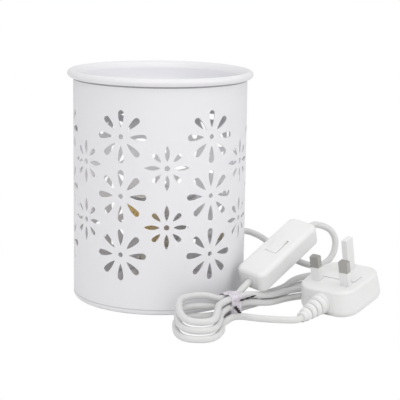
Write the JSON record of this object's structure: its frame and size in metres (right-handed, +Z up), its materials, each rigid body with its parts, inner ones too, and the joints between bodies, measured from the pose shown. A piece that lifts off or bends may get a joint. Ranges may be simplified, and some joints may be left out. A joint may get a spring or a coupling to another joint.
{
  "type": "electric wax warmer lamp",
  "caption": "Perforated metal can with a lift-off wax dish, heated by a twist-lock reflector lamp, with a mains cord, in-line rocker switch and fused plug.",
  "frame": {"origin": "middle of the can's base, on the table", "axes": "+Z up the can, -Y towards the camera of the picture, +X to its right"},
  "size_m": [0.2103, 0.1789, 0.1543],
  "materials": {
    "white_paint": "satin white powder coat",
    "pad_rubber": "matt",
    "zinc_steel": "zinc plated",
    "insulator": "matt board",
    "lamp_ceramic": "unglazed ceramic",
    "contact_brass": "bright",
    "pin_metal": "dull brass",
    "gold_glass": "golden dichroic coat",
    "clear_glass": "clear",
    "white_rubber": "satin white",
    "cord_white": "satin white sheath",
    "switch_white": "satin moulded plastic",
    "plug_white": "satin moulded plastic",
    "sleeve_black": "insulating sleeve",
    "fuse_body": "ceramic tube with metal caps",
    "tie_film": "clear film band",
    "tie_dark": "dark coated wire"
  },
  "bodies": {
    "base": {"base_pan": "white_paint", "foot_pads": "pad_rubber", "shade_shell": "white_paint", "shell_screws": "zinc_steel", "lamp_bracket": "zinc_steel", "bracket_screws": "zinc_steel", "lampholder_plate": "insulator", "lampholder_body": "lamp_ceramic", "lampholder_screws": "zinc_steel", "lampholder_contacts": "contact_brass", "cord_grommet": "white_rubber", "cord_grip": "insulator", "inner_cord": "cord_white", "live_wire": "cord_white", "neutral_wire": "cord_white", "lead_cord": "cord_white", "switch_base": "switch_white", "switch_cover": "switch_white", "rocker_pin": "zinc_steel", "switch_contacts": "contact_brass", "switch_screws": "zinc_steel", "switch_wires": "cord_white", "mid_cord": "cord_white", "cord_hank": "cord_white", "cord_tie": "tie_film", "tie_tail": "tie_dark", "plug_cord": "cord_white", "plug_boot": "white_rubber", "plug_body": "plug_white", "live_pin": "pin_metal", "neutral_pin": "pin_metal", "live_sleeve": "sleeve_black", "neutral_sleeve": "sleeve_black", "earth_pin": "plug_white"},
    "dish": {"wax_dish": "white_paint"},
    "bulb": {"bulb_base": "lamp_ceramic", "bulb_pins": "pin_metal", "bulb_reflector": "gold_glass", "bulb_lens": "clear_glass", "bulb_capsule": "clear_glass"},
    "rocker": {"switch_rocker": "switch_white", "rocker_bridge": "contact_brass"},
    "carrier": {"fuse_carrier": "plug_white", "fuse": "fuse_body"}
  },
  "joints": [
    {"name": "dish_lift", "type": "slide", "parent": "base", "child": "dish", "axis": [0, 0, 1], "range_m": [0, 0.06]},
    {"name": "bulb_twist", "type": "hinge", "parent": "base", "child": "bulb", "pos_m": [0, 0, 0.024], "axis": [0, 0, 1], "range_deg": [0, 20]},
    {"name": "rocker_tilt", "type": "hinge", "parent": "base", "child": "rocker", "pos_m": [0.07996, -0.01826, 0.03645], "axis": [-0.7714, 0.6225, 0.1319], "range_deg": [0, 16]},
    {"name": "fuse_carrier_pull", "type": "slide", "parent": "base", "child": "carrier", "axis": [-0.1283, -0.1636, 0.9781], "range_m": [0, 0.012]}
  ]
}
